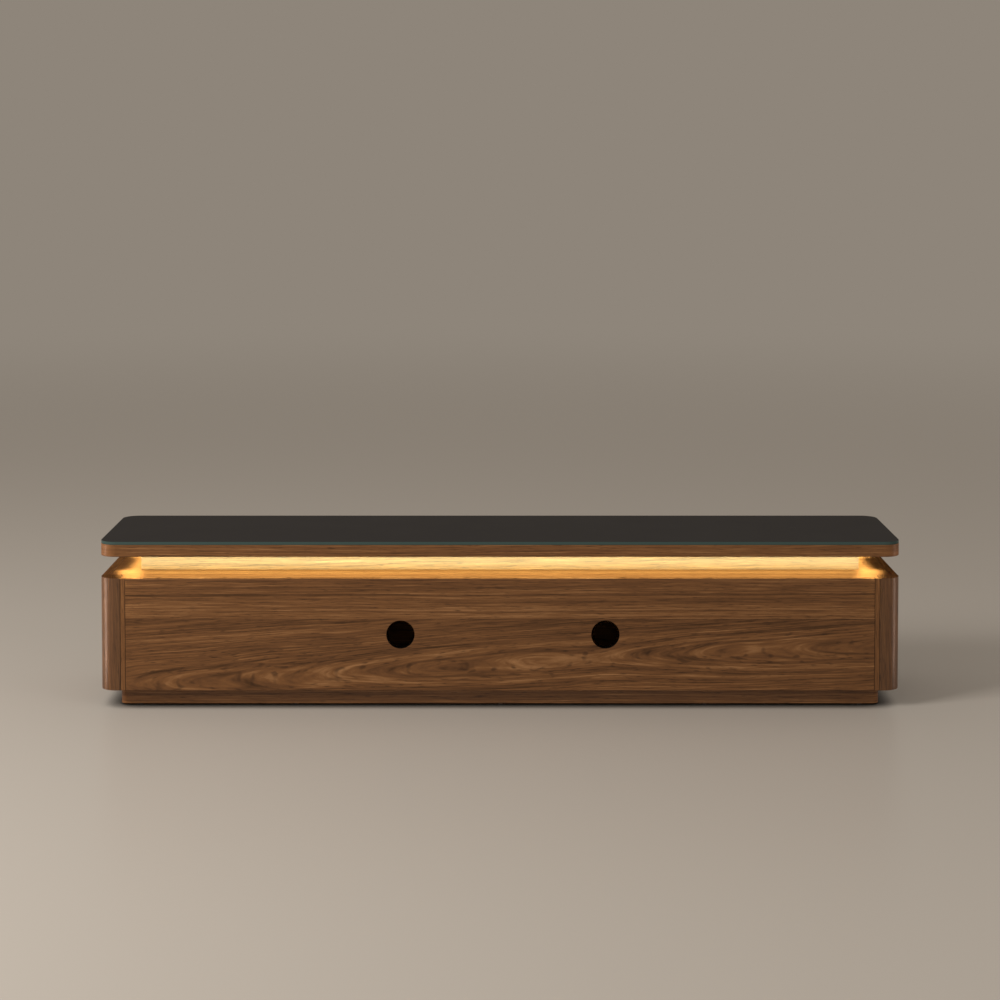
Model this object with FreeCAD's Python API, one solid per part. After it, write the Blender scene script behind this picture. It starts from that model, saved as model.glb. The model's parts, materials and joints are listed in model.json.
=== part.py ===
import FreeCAD, Part
import os

# Low media stand in millimetres. X runs along its length, Z is up, and the origin is on the floor under
# its middle. The long face on the -Y side is the rear, with the cable outlets. Drawers and flaps open
# towards +Y.

# Overall outline in plan, shared by the glass, the top board and the body
overall_length = 2000.0
overall_depth = 400.0
corner_radius = 40.0

# Layers from the floor up
glide_height = 4.0
plinth_height = 42.0
body_height = 282.0
recess_height = 54.0
top_board_thickness = 30.0
glass_thickness = 8.0

# Boards of the body
deck_thickness = 18.0
bottom_thickness = 18.0
side_thickness = 18.0
divider_thickness = 18.0
rear_thickness = 18.0
front_thickness = 18.0
post_flat = 12.0            # straight part of a post beside its round
lipping_width = 13.0        # strip between a post and the long panel or the fronts
edge_ease = 1.0             # rounding on the edges that show
glass_ease = 1.2

# Bays and fronts
av_bay_width = 496.0
front_reveal = 3.0          # gap between neighbouring fronts
finger_slot = 22.0          # gap behind the top edge of the fronts

# Cable outlets in the rear panel
cable_hole_radius = 35.0
cable_hole_left_x = -248.4
cable_hole_right_x = 263.1
cable_hole_height = 141.0   # from the underside of the body

# Neck that carries the top
neck_setback = 120.0        # from the long faces
neck_end_setback = 87.0     # from the ends
neck_board_thickness = 18.0
neck_rib_thickness = 18.0

# Plinth and glides
plinth_setback = 40.0
plinth_end_setback = 46.0
plinth_thickness = 18.0
plinth_corner_radius = 16.0
bearer_thickness = 18.0
glide_radius = 8.0
glide_end_margin = 50.0

# Light in the recess: a corner profile with its back towards the outside and its lens towards the neck
profile_leg = 12.0
profile_wall = 1.2
profile_web = 3.3           # legs of the solid corner that carries the tape
profile_distance = 40.0     # from the neck to the profile's nearest edge on the long sides
profile_end_distance = 25.0     # the same at the ends
profile_end_margin = 6.0    # a profile stops short of the neck's corner by this much
tape_width = 4.0
tape_thickness = 0.5
lens_thickness = 1.2
lead_radius = 2.0
lead_play = 0.2
lead_gap = 1.0              # between the ends of two leads at the splitter
driver_length = 180.0
driver_width = 50.0
driver_height = 32.0
driver_ease = 3.0
driver_offset = 67.0        # from the middle of the right equipment bay towards the centre
splitter_size = 30.0
splitter_height = 10.0
inlet_radius = 11.0
inlet_play = 0.2
inlet_offset = 60.0         # from the driver's middle
inlet_socket_radius = 6.0
inlet_socket_depth = 13.0
inlet_pin_radius = 1.2

# Drawers
drawer_board = 12.0
drawer_height = 170.0
drawer_lift = 14.0          # above the bottom panel
drawer_rear_clearance = 32.0
drawer_bottom_thickness = 6.0
drawer_bottom_lift = 10.0
drawer_groove = 5.0
groove_play = 0.1

# Drawer slides with three nested channels
slide_thickness = 12.7
slide_height = 46.0
slide_wall = 1.5
slide_play = 0.3
slide_tip_gap = 1.2         # from the tips of the outer channels to the drawer
slide_lift = 62.0           # from the underside of the drawer to the middle of the slide
slide_front_setback = 4.0
slide_rear_offset = 25.5    # from the back of the drawer
packer_height = 60.0

# Friction hinges under the flaps
hinge_length = 60.0
hinge_inset = 60.0          # from a flap's edge to its hinge
hinge_leaf = 1.0
hinge_leaf_height = 16.0
leaf_play = 0.5
knuckle_radius = 2.6
knuckle_count = 5
knuckle_play = 0.3
hinge_clearance = 0.45      # from the knuckles up to the level of the body's underside
pin_radius = 1.2
pin_play = 0.05

# Magnet catches at the top of the equipment bays
catch_width = 50.0
catch_height = 14.0
catch_bearing = 30.0        # length that lies under the deck
strike_width = 40.0
strike_height = 11.0
strike_thickness = 1.0
catch_play = 0.3

# Fixings
dowel_radius = 4.0
dowel_play = 0.05
dowel_depth = 20.0          # into the edge of a board
dowel_cover = 5.0           # wood left over a dowel in the face of a board
dowel_inset = 45.0          # from the ends of a joint
screw_radius = 2.0
screw_play = 0.05
screw_bite = 12.0
screw_head_radius = 4.5
screw_head_height = 3.0
screw_head_ease = 1.5

# Levels
half_length = overall_length / 2
half_depth = overall_depth / 2
body_z = glide_height + plinth_height
deck_z = body_z + body_height
board_z = deck_z + recess_height
glass_z = board_z + top_board_thickness
top_z = glass_z + glass_thickness
floor_z = body_z + bottom_thickness
ceiling_z = deck_z - deck_thickness

# Faces of the body
post_x = half_length - corner_radius - post_flat
post_y = half_depth - corner_radius - post_flat
opening_x = post_x - lipping_width
side_x = half_length - side_thickness
rear_y = rear_thickness - half_depth
front_y = half_depth - front_thickness
front_gap = 2 * hinge_leaf + leaf_play
carcass_y = front_y - front_gap
deck_edge_y = front_y - finger_slot
divider_x = av_bay_width + divider_thickness
drawer_bay_x = divider_x + divider_thickness / 2
av_bay_middle = divider_thickness / 2 + av_bay_width / 2
drawer_bay_middle = (drawer_bay_x + opening_x) / 2
bearing_lines = (-divider_x, 0.0, divider_x)
fixing_lines = (-drawer_bay_middle, -av_bay_middle, av_bay_middle, drawer_bay_middle)

# Faces of the neck
neck_x = half_length - neck_end_setback
neck_y = half_depth - neck_setback
neck_inner_y = neck_y - neck_board_thickness
neck_board_middle = neck_y - neck_board_thickness / 2

# Faces of the drawers and their slides
drawer_z = floor_z + drawer_lift
drawer_top_z = drawer_z + drawer_height
drawer_rear_y = rear_y + drawer_rear_clearance
drawer_near_x = drawer_bay_x + slide_thickness
drawer_far_x = opening_x - slide_thickness
slide_z = drawer_z + slide_lift
slide_y = (drawer_rear_y + slide_rear_offset, carcass_y - slide_front_setback)

# Turning axis of the flaps, just below the front edge of the bottom panel
hinge_y = carcass_y + front_gap / 2
hinge_z = body_z - knuckle_radius - hinge_clearance

overshoot = 1.0             # a cutter runs this far past the face it opens
plane_tolerance = 0.01
sides = {"left": -1, "right": 1}
X_AXIS = FreeCAD.Vector(1, 0, 0)
Y_AXIS = FreeCAD.Vector(0, 1, 0)
Z_AXIS = FreeCAD.Vector(0, 0, 1)


def span(side, near, far):
    """Limits of a piece that lies from near to far on one side of the middle."""
    return (near, far) if side > 0 else (-far, -near)


def middle_span(middle, width):
    """Limits of a piece of this width about its middle."""
    return (middle - width / 2, middle + width / 2)


def block(x_limits, y_limits, z_limits):
    """Rectangular solid between the given limits."""
    corner = FreeCAD.Vector(x_limits[0], y_limits[0], z_limits[0])
    sizes = [limits[1] - limits[0] for limits in (x_limits, y_limits, z_limits)]
    return Part.makeBox(*sizes, corner)


def rod(radius, start, axis, length):
    """Round solid from a start point along an axis."""
    return Part.makeCylinder(radius, length, FreeCAD.Vector(*start), axis)


def prism(profile, start, direction, length):
    """Straight bar with a polygonal section: profile gives its corners as points in space at the start."""
    corners = [FreeCAD.Vector(*point) + start for point in profile]
    face = Part.Face(Part.makePolygon(corners + corners[:1]))
    return face.extrude(direction * length)


def edges_at(shape, x=None, y=None, z=None):
    """Edges that lie wholly in the planes given."""
    found = []
    for edge in shape.Edges:
        box = edge.BoundBox
        limits = ((x, box.XMin, box.XMax), (y, box.YMin, box.YMax), (z, box.ZMin, box.ZMax))
        if all(want is None or max(abs(low - want), abs(high - want)) < plane_tolerance
               for want, low, high in limits):
            found.append(edge)
    return found


def eased(shape, radius, edges):
    return shape.makeFillet(radius, edges)


def rounded_slab(z_limits):
    """Plate with the plan outline of the stand."""
    slab = block((-half_length, half_length), (-half_depth, half_depth), z_limits)
    corners = [edge for edge in slab.Edges if edge.BoundBox.ZLength > edge.BoundBox.DiagonalLength / 2]
    return slab.makeFillet(corner_radius, corners)


# Each joint gives its dowels and the bores that they sit in.
def dowel_set(starts, axis, length):
    dowels = [rod(dowel_radius, start, axis, length) for start in starts]
    bores = [rod(dowel_radius + dowel_play, start, axis, length) for start in starts]
    return dowels, bores


def post_dowels(side, face):
    """Dowels across the joint of a side panel and the post on one face of the stand."""
    heights = (body_z + dowel_inset, (body_z + deck_z) / 2, deck_z - dowel_inset)
    middle_x = side * (half_length - side_thickness / 2)
    low_y = face * post_y - dowel_depth
    return dowel_set([(middle_x, low_y, z) for z in heights], Y_AXIS, 2 * dowel_depth)


def divider_dowels(middle_x):
    """Dowels of a divider into the deck and into the bottom panel."""
    rows = (rear_y + dowel_inset, carcass_y - dowel_inset)
    deck_length = dowel_depth + deck_thickness - dowel_cover
    bottom_length = dowel_depth + bottom_thickness - dowel_cover
    upper = dowel_set([(middle_x, y, ceiling_z - dowel_depth) for y in rows], Z_AXIS, deck_length)
    lower = dowel_set([(middle_x, y, body_z + dowel_cover) for y in rows], Z_AXIS, bottom_length)
    return upper[0] + lower[0], upper[1] + lower[1]


def neck_dowels(face):
    """Dowels from one long neck board up into the top board."""
    length = dowel_depth + top_board_thickness - dowel_cover
    starts = [(x, face * neck_board_middle, board_z - dowel_depth) for x in fixing_lines]
    return dowel_set(starts, Z_AXIS, length)


def neck_screw(x, face, play):
    """Shank of a screw from under the deck into a long neck board."""
    start = (x, face * neck_board_middle, ceiling_z)
    return rod(screw_radius + play, start, Z_AXIS, deck_thickness + screw_bite)


def neck_screws():
    screws = []
    for face in (-1, 1):
        for x in fixing_lines:
            head_start = (x, face * neck_board_middle, ceiling_z - screw_head_height)
            head = rod(screw_head_radius, head_start, Z_AXIS, screw_head_height)
            head = eased(head, screw_head_ease, edges_at(head, z=ceiling_z - screw_head_height))
            screws.append(head.fuse(neck_screw(x, face, 0.0)))
    return screws


def neck_screw_bores():
    return [neck_screw(x, face, screw_play) for face in (-1, 1) for x in fixing_lines]


# Top: a glass plate on a wooden board of the same outline
def glass_top():
    plate = rounded_slab((glass_z, top_z))
    return eased(plate, glass_ease, edges_at(plate, z=top_z) + edges_at(plate, z=glass_z))


def lead_grooves():
    """Cross of grooves under the top board, along which the leads run out to the light profiles."""
    width = 2 * (lead_radius + lead_play)
    depth_limits = (board_z - overshoot, board_z + width)
    lengthwise = block((-profile_middle_x, profile_middle_x), middle_span(0.0, width), depth_limits)
    crosswise = block(middle_span(driver_x, width), (-profile_middle_y, profile_middle_y), depth_limits)
    return [lengthwise, crosswise]


def top_board():
    board = rounded_slab((board_z, glass_z))
    board = eased(board, edge_ease, edges_at(board, z=board_z))
    bores = neck_dowels(-1)[1] + neck_dowels(1)[1]
    return board.cut(lead_grooves() + bores)


# Neck: a hollow frame of boards between the body and the top
def neck_board(face):
    board = block((-neck_x, neck_x), span(face, neck_inner_y, neck_y), (deck_z, board_z))
    return board.cut(neck_dowels(face)[1] + neck_screw_bores())


def neck_ends():
    across = (-neck_inner_y, neck_inner_y)
    return [block(span(side, neck_x - neck_board_thickness, neck_x), across, (deck_z, board_z))
            for side in sides.values()]


def neck_ribs():
    across = (-neck_inner_y, neck_inner_y)
    return [block(middle_span(x, neck_rib_thickness), across, (deck_z, board_z)) for x in bearing_lines]


# Light: the profile's back stands outside, its upper leg lies under the board, and the lens faces the neck
# at 45 degrees. In its section, inward points at the neck and the corner is at the top outside.
driver_x = av_bay_middle - driver_offset
profile_corner_y = neck_y + profile_distance + profile_leg
profile_corner_x = neck_x + profile_end_distance + profile_leg
profile_middle_y = profile_corner_y - profile_leg / 2
profile_middle_x = profile_corner_x - profile_leg / 2
profile_section = [
    (0.0, 0.0),
    (profile_leg, 0.0),
    (profile_leg, -profile_wall),
    (profile_wall + profile_web, -profile_wall),
    (profile_wall, -profile_wall - profile_web),
    (profile_wall, -profile_leg),
    (0.0, -profile_leg),
]
diagonal = 0.5 ** 0.5
tape_middle = profile_wall + profile_web / 2
tape_half = tape_width / 2 * diagonal
tape_rise = tape_thickness * diagonal
tape_section = [
    (tape_middle - tape_half, -tape_middle - tape_half),
    (tape_middle + tape_half, -tape_middle + tape_half),
    (tape_middle + tape_half + tape_rise, -tape_middle + tape_half - tape_rise),
    (tape_middle - tape_half + tape_rise, -tape_middle - tape_half - tape_rise),
]
lens_rise = lens_thickness / diagonal
lens_section = [
    (profile_leg, -profile_wall),
    (profile_wall, -profile_leg),
    (profile_wall, -profile_leg + lens_rise),
    (profile_leg - lens_rise, -profile_wall),
]


def long_bars(section):
    """The same bar along both long sides of the neck."""
    half = neck_x - profile_end_margin
    bars = []
    for face in (-1, 1):
        points = [(0.0, -face * inward, drop) for inward, drop in section]
        start = FreeCAD.Vector(-half, face * profile_corner_y, board_z)
        bars.append(prism(points, start, X_AXIS, 2 * half))
    return bars


def end_bars(section):
    """The same bar at both ends of the neck."""
    half = neck_y - profile_end_margin
    bars = []
    for side in sides.values():
        points = [(-side * inward, 0.0, drop) for inward, drop in section]
        start = FreeCAD.Vector(side * profile_corner_x, -half, board_z)
        bars.append(prism(points, start, Y_AXIS, 2 * half))
    return bars


def led_driver():
    case = block(middle_span(driver_x, driver_length), middle_span(0.0, driver_width),
                 (deck_z, deck_z + driver_height))
    return eased(case, driver_ease, edges_at(case, z=deck_z + driver_height))


def led_inlet():
    """Round socket in the deck, open downwards into the right equipment bay."""
    x = driver_x + inlet_offset
    body = rod(inlet_radius, (x, 0, ceiling_z), Z_AXIS, deck_thickness)
    socket = rod(inlet_socket_radius, (x, 0, ceiling_z - overshoot), Z_AXIS, inlet_socket_depth + overshoot)
    pin = rod(inlet_pin_radius, (x, 0, ceiling_z), Z_AXIS, inlet_socket_depth)
    return body.cut(socket).fuse(pin)


def led_splitter():
    return block(middle_span(driver_x, splitter_size), middle_span(0.0, splitter_size),
                 (board_z - splitter_height, board_z))


def led_leads():
    """One lead up from the driver, and one from the splitter to each light profile."""
    z = board_z + lead_radius + lead_play
    start = lead_radius + lead_gap
    riser_z = deck_z + driver_height
    riser = rod(lead_radius, (driver_x, 0, riser_z), Z_AXIS, board_z - splitter_height - riser_z)
    reach_y = profile_middle_y - lead_play - start
    reach_x = profile_middle_x - lead_play - start
    return [
        riser,
        rod(lead_radius, (driver_x, start, z), Y_AXIS, reach_y),
        rod(lead_radius, (driver_x, -start, z), -Y_AXIS, reach_y),
        rod(lead_radius, (driver_x + start, 0, z), X_AXIS, reach_x - driver_x),
        rod(lead_radius, (driver_x - start, 0, z), -X_AXIS, reach_x + driver_x),
    ]


# Body
def floor_plate(front_edge, z_limits):
    """Board that fills the inside of the body in plan, notched around the four posts."""
    long_part = block((-post_x, post_x), (rear_y, front_edge), z_limits)
    wide_part = block((-side_x, side_x), (-post_y, min(post_y, front_edge)), z_limits)
    return long_part.fuse(wide_part).removeSplitter()


def divider_bores():
    return [bore for x in bearing_lines for bore in divider_dowels(x)[1]]


def deck_panel():
    deck = floor_plate(deck_edge_y, (ceiling_z, deck_z))
    deck = eased(deck, edge_ease, edges_at(deck, z=deck_z))
    inlet = rod(inlet_radius + inlet_play, (driver_x + inlet_offset, 0, ceiling_z - overshoot), Z_AXIS,
                deck_thickness + 2 * overshoot)
    return deck.cut([inlet] + divider_bores() + neck_screw_bores())


def bottom_panel():
    return floor_plate(carcass_y, (body_z, floor_z)).cut(divider_bores())


def divider(x):
    board = block(middle_span(x, divider_thickness), (rear_y, carcass_y), (floor_z, ceiling_z))
    return board.cut(divider_dowels(x)[1])


def corner_post(side, face):
    post = block(span(side, post_x, half_length), span(face, post_y, half_depth), (body_z, deck_z))
    post = post.makeFillet(corner_radius, edges_at(post, x=side * half_length, y=face * half_depth))
    joints = edges_at(post, x=side * post_x, y=face * half_depth)
    joints += edges_at(post, x=side * half_length, y=face * post_y)
    post = eased(post, edge_ease, joints)
    return post.cut(post_dowels(side, face)[1])


def side_panel(side):
    panel = block(span(side, side_x, half_length), (-post_y, post_y), (body_z, deck_z))
    panel = eased(panel, edge_ease, edges_at(panel, x=side * half_length))
    return panel.cut(post_dowels(side, -1)[1] + post_dowels(side, 1)[1])


def lippings(face):
    outer = face * half_depth
    depth_limits = span(face, half_depth - (front_thickness if face > 0 else rear_thickness), half_depth)
    height = (body_z, deck_z)
    strips = [block(span(side, opening_x, post_x), depth_limits, height) for side in sides.values()]
    return [eased(strip, edge_ease, edges_at(strip, y=outer)) for strip in strips]


def rear_panel():
    panel = block((-opening_x, opening_x), (-half_depth, rear_y), (body_z, deck_z))
    for x in (cable_hole_left_x, cable_hole_right_x):
        start = (x, -half_depth - overshoot, body_z + cable_hole_height)
        panel = panel.cut(rod(cable_hole_radius, start, Y_AXIS, rear_thickness + 2 * overshoot))
    return eased(panel, edge_ease, edges_at(panel, y=-half_depth))


def carcass_dowels():
    sets = [post_dowels(side, face) for side in sides.values() for face in (-1, 1)]
    sets += [divider_dowels(x) for x in bearing_lines]
    sets += [neck_dowels(face) for face in (-1, 1)]
    return [dowel for dowels, bores in sets for dowel in dowels]


# Plinth
plinth_x = half_length - plinth_end_setback
plinth_y = half_depth - plinth_setback
plinth_inner_y = plinth_y - plinth_thickness


def plinth_rail(face):
    rail = block((-plinth_x, plinth_x), span(face, plinth_inner_y, plinth_y), (glide_height, body_z))
    corners = []
    for side in sides.values():
        corners += edges_at(rail, x=side * plinth_x, y=face * plinth_y)
    return rail.makeFillet(min(plinth_corner_radius, plinth_thickness - edge_ease), corners)


def plinth_end_rails():
    across = (-plinth_inner_y, plinth_inner_y)
    return [block(span(side, plinth_x - plinth_thickness, plinth_x), across, (glide_height, body_z))
            for side in sides.values()]


def plinth_bearers():
    across = (-plinth_inner_y, plinth_inner_y)
    return [block(middle_span(x, bearer_thickness), across, (glide_height, body_z)) for x in bearing_lines]


def floor_glides():
    rail_middle = plinth_y - plinth_thickness / 2
    end_x = plinth_x - glide_end_margin
    return [rod(glide_radius, (x, face * rail_middle, 0), Z_AXIS, glide_height)
            for face in (-1, 1) for x in (-end_x,) + bearing_lines + (end_x,)]


# Drawers and their slides
def slide_packers():
    """Blocks that bring the drawer slides flush with the opening beside the posts."""
    return [block(span(side, opening_x, side_x), (-post_y, post_y), middle_span(slide_z, packer_height))
            for side in sides.values()]


def slide_channel(mount_x, direction, web, tip, half_height):
    """Channel section: its web at one depth from the mounting face, its flanges reaching to another."""
    wall = slide_wall if tip > web else -slide_wall
    far = tip + overshoot if tip > web else tip - overshoot
    outer_x = sorted((mount_x + direction * web, mount_x + direction * tip))
    hollow_x = sorted((mount_x + direction * (web + wall), mount_x + direction * far))
    outer = block(outer_x, slide_y, middle_span(slide_z, 2 * half_height))
    hollow_y = (slide_y[0] - overshoot, slide_y[1] + overshoot)
    hollow = block(hollow_x, hollow_y, middle_span(slide_z, 2 * (half_height - slide_wall)))
    return outer.cut(hollow)


def slide_members(side, stage):
    """Both channels of one stage, 0 on the cabinet, 1 in the middle and 2 on the drawer."""
    step = slide_wall + slide_play
    half_height = slide_height / 2 - stage * step
    if stage == 2:
        web, tip = slide_thickness, 2 * step
    else:
        web, tip = stage * step, slide_thickness - slide_tip_gap
    mounts = ((side * drawer_bay_x, side), (side * opening_x, -side))
    return [slide_channel(mount_x, direction, web, tip, half_height) for mount_x, direction in mounts]


def front_board(x_limits):
    board = block(x_limits, (front_y, half_depth), (body_z, deck_z))
    return eased(board, edge_ease, edges_at(board, y=half_depth))


def drawer_bottom(side, play):
    """Bottom of a drawer, held in grooves in the sides and the front, and passing under the back."""
    near = drawer_near_x + drawer_board - drawer_groove - play
    far = drawer_far_x - drawer_board + drawer_groove + play
    low = drawer_z + drawer_bottom_lift - play
    high = drawer_z + drawer_bottom_lift + drawer_bottom_thickness + play
    return block(span(side, near, far), (drawer_rear_y - play, front_y + drawer_groove + play), (low, high))


def drawer(side):
    groove = drawer_bottom(side, groove_play)
    front = front_board(span(side, divider_x + front_reveal / 2, opening_x - front_reveal))
    height = (drawer_z, drawer_top_z)
    walls = ((drawer_near_x, drawer_near_x + drawer_board), (drawer_far_x - drawer_board, drawer_far_x))
    wall_boards = [block(span(side, *limits), (drawer_rear_y, front_y), height) for limits in walls]
    back_z = drawer_z + drawer_bottom_lift + drawer_bottom_thickness + groove_play
    back = block(span(side, walls[0][1], walls[1][0]), (drawer_rear_y, drawer_rear_y + drawer_board),
                 (back_z, drawer_top_z))
    return {
        "front": [front.cut(groove)],
        "sides": [board.cut(groove) for board in wall_boards],
        "back": [back],
        "bottom": [drawer_bottom(side, 0.0)],
        "slide_members": slide_members(side, 2),
    }


# Flaps and their hinges
def flap_limits(side):
    return span(side, front_reveal / 2, divider_x - front_reveal / 2)


def hinge_middles(side):
    low, high = flap_limits(side)
    offset = hinge_inset + hinge_length / 2
    return (low + offset, high - offset)


def knuckle_limits(middle, index):
    """Stretch of one knuckle along the pin."""
    pitch = hinge_length / knuckle_count
    start = middle - hinge_length / 2 + index * pitch
    return (start + knuckle_play / 2, start + pitch - knuckle_play / 2)


def hinge_leaf_solid(middle, y_limits, first_knuckle):
    """Leaf with every other knuckle, bored for the pin."""
    plate_z = (hinge_z + knuckle_radius + knuckle_play, body_z + hinge_leaf_height)
    leaf = block(middle_span(middle, hinge_length), y_limits, plate_z)
    for index in range(first_knuckle, knuckle_count, 2):
        limits = knuckle_limits(middle, index)
        tab = block(limits, y_limits, (hinge_z, plate_z[1]))
        knuckle = rod(knuckle_radius, (limits[0], hinge_y, hinge_z), X_AXIS, limits[1] - limits[0])
        leaf = leaf.fuse([tab, knuckle])
    bore_start = (middle - hinge_length / 2 - overshoot, hinge_y, hinge_z)
    bore = rod(pin_radius + pin_play, bore_start, X_AXIS, hinge_length + 2 * overshoot)
    return leaf.cut(bore).removeSplitter()


def fixed_leaves():
    return [hinge_leaf_solid(middle, (carcass_y, carcass_y + hinge_leaf), 0)
            for side in sides.values() for middle in hinge_middles(side)]


def flap_leaves(side):
    return [hinge_leaf_solid(middle, (front_y - hinge_leaf, front_y), 1) for middle in hinge_middles(side)]


def hinge_pins():
    return [rod(pin_radius, (middle - hinge_length / 2, hinge_y, hinge_z), X_AXIS, hinge_length)
            for side in sides.values() for middle in hinge_middles(side)]


def magnet_catches():
    front_face = front_y - strike_thickness - catch_play
    return [block(middle_span(side * av_bay_middle, catch_width), (deck_edge_y - catch_bearing, front_face),
                  (ceiling_z - catch_height, ceiling_z)) for side in sides.values()]


def strike_plate(side):
    middle_z = ceiling_z - catch_height / 2
    return block(middle_span(side * av_bay_middle, strike_width), (front_y - strike_thickness, front_y),
                 middle_span(middle_z, strike_height))


def assemble():
    """Every node of the stand with its solids."""
    nodes = {
        "glass_top": [glass_top()],
        "top_board": [top_board()],
        "neck_rear_board": [neck_board(-1)],
        "neck_front_board": [neck_board(1)],
        "neck_ends": neck_ends(),
        "neck_ribs": neck_ribs(),
        "led_profile_long": long_bars(profile_section),
        "led_profile_end": end_bars(profile_section),
        "led_tape_long": long_bars(tape_section),
        "led_tape_end": end_bars(tape_section),
        "led_lens_long": long_bars(lens_section),
        "led_lens_end": end_bars(lens_section),
        "led_driver": [led_driver()],
        "led_inlet": [led_inlet()],
        "led_splitter": [led_splitter()],
        "led_leads": led_leads(),
        "deck_panel": [deck_panel()],
        "bottom_panel": [bottom_panel()],
        "rear_panel": [rear_panel()],
        "rear_lippings": lippings(-1),
        "front_lippings": lippings(1),
        "divider_left": [divider(-divider_x)],
        "divider_centre": [divider(0.0)],
        "divider_right": [divider(divider_x)],
        "carcass_dowels": carcass_dowels(),
        "neck_screws": neck_screws(),
        "slide_packers": slide_packers(),
        "plinth_rear_rail": [plinth_rail(-1)],
        "plinth_front_rail": [plinth_rail(1)],
        "plinth_end_rails": plinth_end_rails(),
        "plinth_bearers": plinth_bearers(),
        "floor_glides": floor_glides(),
        "slide_cabinet_members": slide_members(-1, 0) + slide_members(1, 0),
        "hinge_fixed_leaves": fixed_leaves(),
        "hinge_pins": hinge_pins(),
        "magnet_catches": magnet_catches(),
    }
    for name, side in sides.items():
        nodes["side_panel_" + name] = [side_panel(side)]
        nodes["post_rear_" + name] = [corner_post(side, -1)]
        nodes["post_front_" + name] = [corner_post(side, 1)]
        nodes[name + "_slide_middles"] = slide_members(side, 1)
        for piece, solids in drawer(side).items():
            nodes[name + "_drawer_" + piece] = solids
        nodes[name + "_flap_board"] = [front_board(flap_limits(side))]
        nodes[name + "_flap_leaves"] = flap_leaves(side)
        nodes[name + "_flap_strike"] = [strike_plate(side)]
    return nodes


os.makedirs("parts", exist_ok=True)
for node, solids in assemble().items():
    shape = solids[0] if len(solids) == 1 else Part.makeCompound(solids)
    shape.exportStep("parts/" + node + ".step")
    print(node, len(shape.Solids), round(shape.Volume / 1000, 1), "cm3")
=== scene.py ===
# %% [markdown]
# # A lit walnut media stand
# The stand is already built to its real size: every board, hinge, slide and lamp profile is a solid with
# a name. This lesson dresses those solids. It loads them first.

# %% Load the stand
import json
import math
import bpy
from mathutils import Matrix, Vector


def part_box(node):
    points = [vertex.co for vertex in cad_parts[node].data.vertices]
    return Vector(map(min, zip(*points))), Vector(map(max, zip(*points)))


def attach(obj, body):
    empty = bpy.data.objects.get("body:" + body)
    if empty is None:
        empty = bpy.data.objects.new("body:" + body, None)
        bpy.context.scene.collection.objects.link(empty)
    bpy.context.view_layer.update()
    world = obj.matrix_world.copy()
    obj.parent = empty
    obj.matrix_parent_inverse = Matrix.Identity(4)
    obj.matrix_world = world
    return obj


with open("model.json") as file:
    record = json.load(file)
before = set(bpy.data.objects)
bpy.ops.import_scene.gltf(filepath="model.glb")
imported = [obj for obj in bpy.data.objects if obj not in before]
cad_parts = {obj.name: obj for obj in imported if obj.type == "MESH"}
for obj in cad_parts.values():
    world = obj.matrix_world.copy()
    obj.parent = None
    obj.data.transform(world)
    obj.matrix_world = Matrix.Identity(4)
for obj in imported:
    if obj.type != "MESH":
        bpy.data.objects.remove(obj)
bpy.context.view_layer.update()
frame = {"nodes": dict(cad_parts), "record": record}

nodes = frame["nodes"]
record = frame["record"]
scene = bpy.context.scene
scene.view_settings.view_transform = "Standard"

# %% [markdown]
# The camera comes first, because every later choice is judged through it. The picture was taken dead
# centre with a long lens and upright verticals. A vertical shift of the lens keeps the verticals upright
# without tilting the camera much, as a view camera does.

# %% Camera
FOCAL_LENGTH, SENSOR_WIDTH = 80.65, 36.0      # mm
LENS_SHIFT = -0.25                            # in widths of the picture
CAMERA_TILT = 2.623                           # degrees below level
CAMERA_PLACE = (0.0, -5.741, 1.4016)
camera_data = bpy.data.cameras.new("photo_camera")
camera_data.lens = FOCAL_LENGTH
camera_data.sensor_width = SENSOR_WIDTH
camera_data.shift_y = LENS_SHIFT
camera = bpy.data.objects.new("photo_camera", camera_data)
camera.location = CAMERA_PLACE
camera.rotation_euler = (math.radians(90.0 - CAMERA_TILT), 0.0, 0.0)
scene.collection.objects.link(camera)
scene.camera = camera
print("camera height m", round(camera.location.z, 3), "distance m", round(-camera.location.y, 3))

# %% [markdown]
# Three helpers serve every finish. One turns the hex colour that a paint program shows into the linear
# light that a shader needs. One adds a node, sets it up and links it in one line, so that a finish reads
# as a recipe. The last opens an empty material.

# %% Colour and node helpers
MM = 0.001


def linear(code, level=1.0):
    """Linear colour of an sRGB hex code, times a level."""
    parts = [int(code[i:i + 2], 16) / 255 for i in (1, 3, 5)]
    light = [p / 12.92 if p <= 0.04045 else ((p + 0.055) / 1.055) ** 2.4 for p in parts]
    return tuple(level * part for part in light) + (1.0,)


def add(tree, kind, inputs=None, **settings):
    """New node with its settings. An input is a value, or the output of another node."""
    node = tree.nodes.new(kind)
    for name, value in settings.items():
        setattr(node, name, value)
    for socket, value in (inputs or {}).items():
        if isinstance(value, bpy.types.NodeSocket):
            tree.links.new(value, node.inputs[socket])
        else:
            node.inputs[socket].default_value = value
    return node


def new_material(name):
    """Empty material, and the tree that its nodes go into."""
    material = bpy.data.materials.new(name)
    material.use_nodes = True
    material.node_tree.nodes.clear()
    return material, material.node_tree


print("mid grey in linear light", [round(part, 3) for part in linear("#808080")])

# %% [markdown]
# Walnut is the main finish. The real boards carry a sliced veneer, and the grain runs along each board.
# An image would repeat and can't turn a corner, so the wood is grown in space instead. It starts from
# coordinates that lie along the board: turned to its grain, leaned a little as the trunk was, and bent
# slowly to and fro, because no tree grows straight.

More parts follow.
